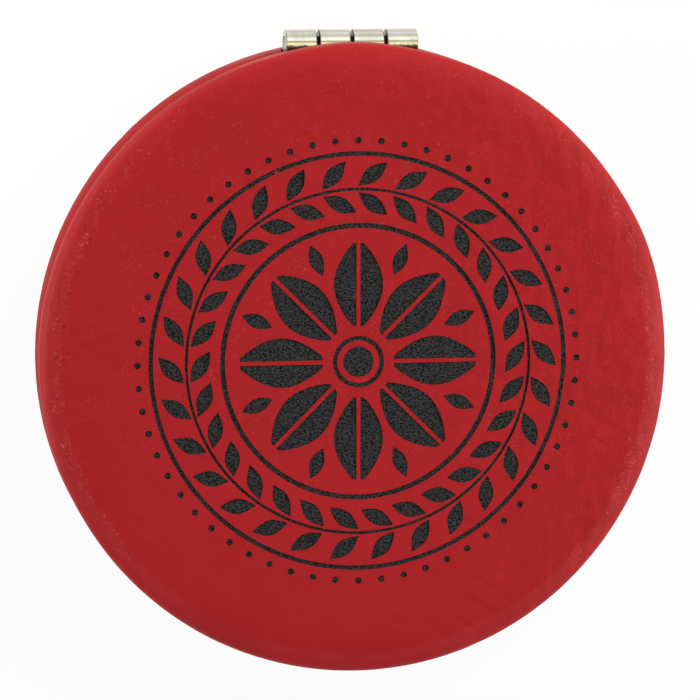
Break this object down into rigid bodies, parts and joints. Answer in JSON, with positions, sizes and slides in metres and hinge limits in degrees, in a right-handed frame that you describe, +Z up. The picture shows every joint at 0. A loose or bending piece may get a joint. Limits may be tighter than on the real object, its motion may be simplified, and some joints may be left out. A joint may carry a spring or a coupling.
{
  "type": "compact mirror",
  "caption": "Round red leatherette compact mirror: padded halves on a bright barrel hinge, with a plain mirror in the lid and a magnifying one in the base.",
  "frame": {"origin": "centre of the base's flat underside, on the axis of the round case, with the compact lying shut", "axes": "+Z up through the lid's face, +Y towards the hinge, +X to the right seen from above with the hinge at the top"},
  "size_m": [0.0636, 0.0649, 0.0109],
  "materials": {
    "red_leatherette": "fine grain, soft satin",
    "foam": "open-cell foam",
    "moulded_shell": "moulded, matt",
    "adhesive_tape": "matt",
    "bright_bezel": "polished plating",
    "mirror_glass": "silvered glass",
    "plated_magnet": "nickel plating",
    "plated_hinge": "polished plating",
    "rivet_metal": "bright drawn",
    "pin_steel": "drawn wire"
  },
  "bodies": {
    "base": {"base_cover": "red_leatherette", "base_foam_pad": "foam", "base_shell": "moulded_shell", "base_mirror_tape": "adhesive_tape", "base_bezel_ring": "bright_bezel", "magnifying_mirror": "mirror_glass", "base_magnet": "plated_magnet", "base_hinge_leaf": "plated_hinge", "base_hinge_rivets": "rivet_metal", "hinge_pin": "pin_steel"},
    "lid": {"lid_cover": "red_leatherette", "lid_foam_pad": "foam", "lid_shell": "moulded_shell", "lid_mirror_tape": "adhesive_tape", "lid_bezel_ring": "bright_bezel", "plain_mirror": "mirror_glass", "lid_magnet": "plated_magnet", "lid_hinge_leaf": "plated_hinge", "lid_hinge_rivets": "rivet_metal"}
  },
  "joints": [
    {"name": "lid_hinge", "type": "hinge", "parent": "base", "child": "lid", "pos_m": [0, 0.0314, 0.00545], "axis": [-1, 0, 0], "range_deg": [0, 150]}
  ]
}
